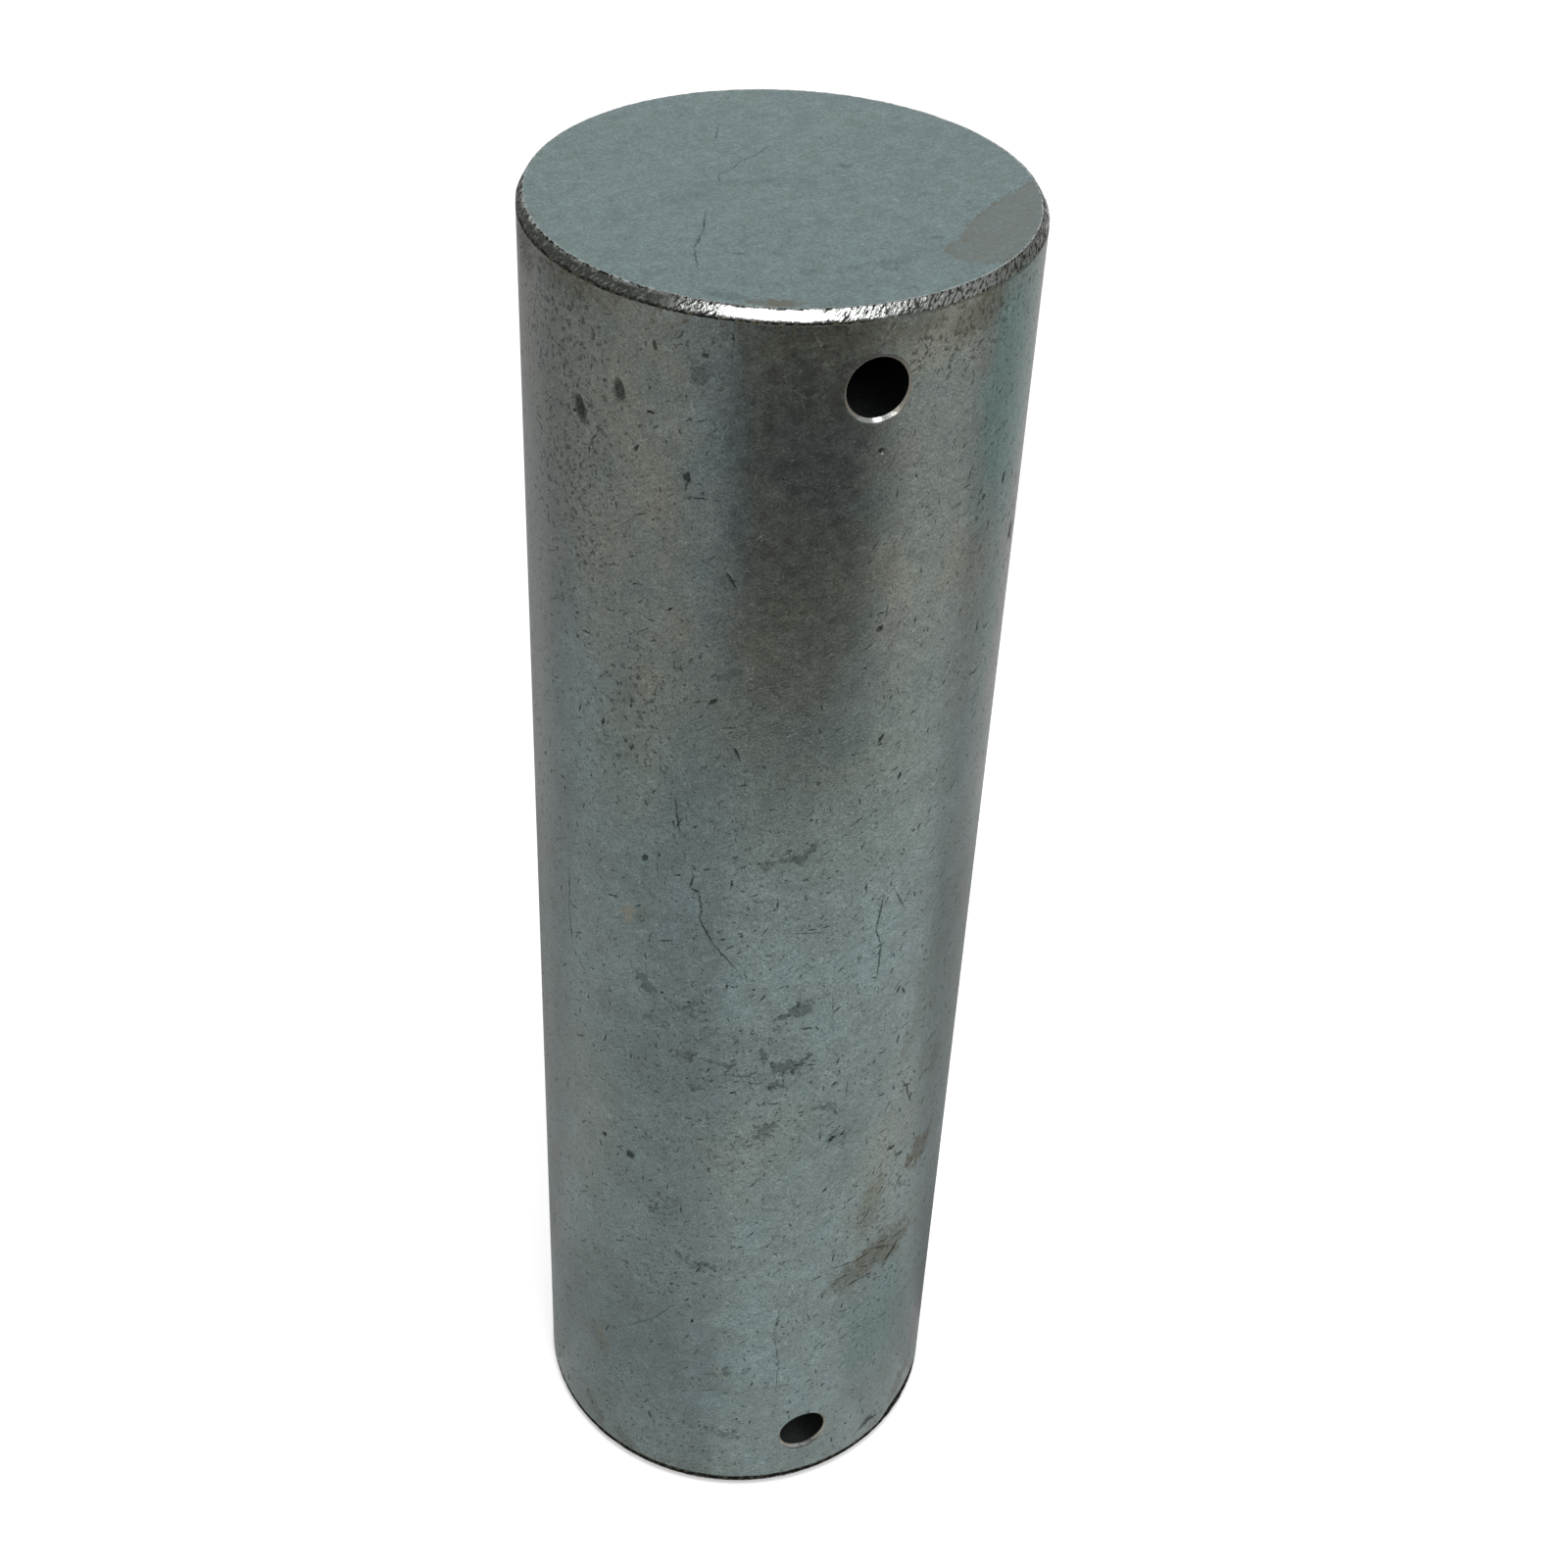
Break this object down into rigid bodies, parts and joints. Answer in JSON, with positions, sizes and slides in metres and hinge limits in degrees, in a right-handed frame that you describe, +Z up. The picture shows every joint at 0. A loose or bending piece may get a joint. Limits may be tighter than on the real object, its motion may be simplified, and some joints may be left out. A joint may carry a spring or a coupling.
{
  "type": "steel pin",
  "caption": "Zinc-plated steel pin with chamfered ends and a cross hole near each end, worn and lightly stained.",
  "frame": {"origin": "middle of the pin's lower end face", "axes": "+Z up the pin's axis, and both cross holes run along Y"},
  "size_m": [0.05, 0.05, 0.167],
  "materials": {
    "zinc_steel": "satin zinc plating, worn, with a few brown stains"
  },
  "bodies": {
    "root": {"steel_pin": "zinc_steel"}
  },
  "joints": []
}
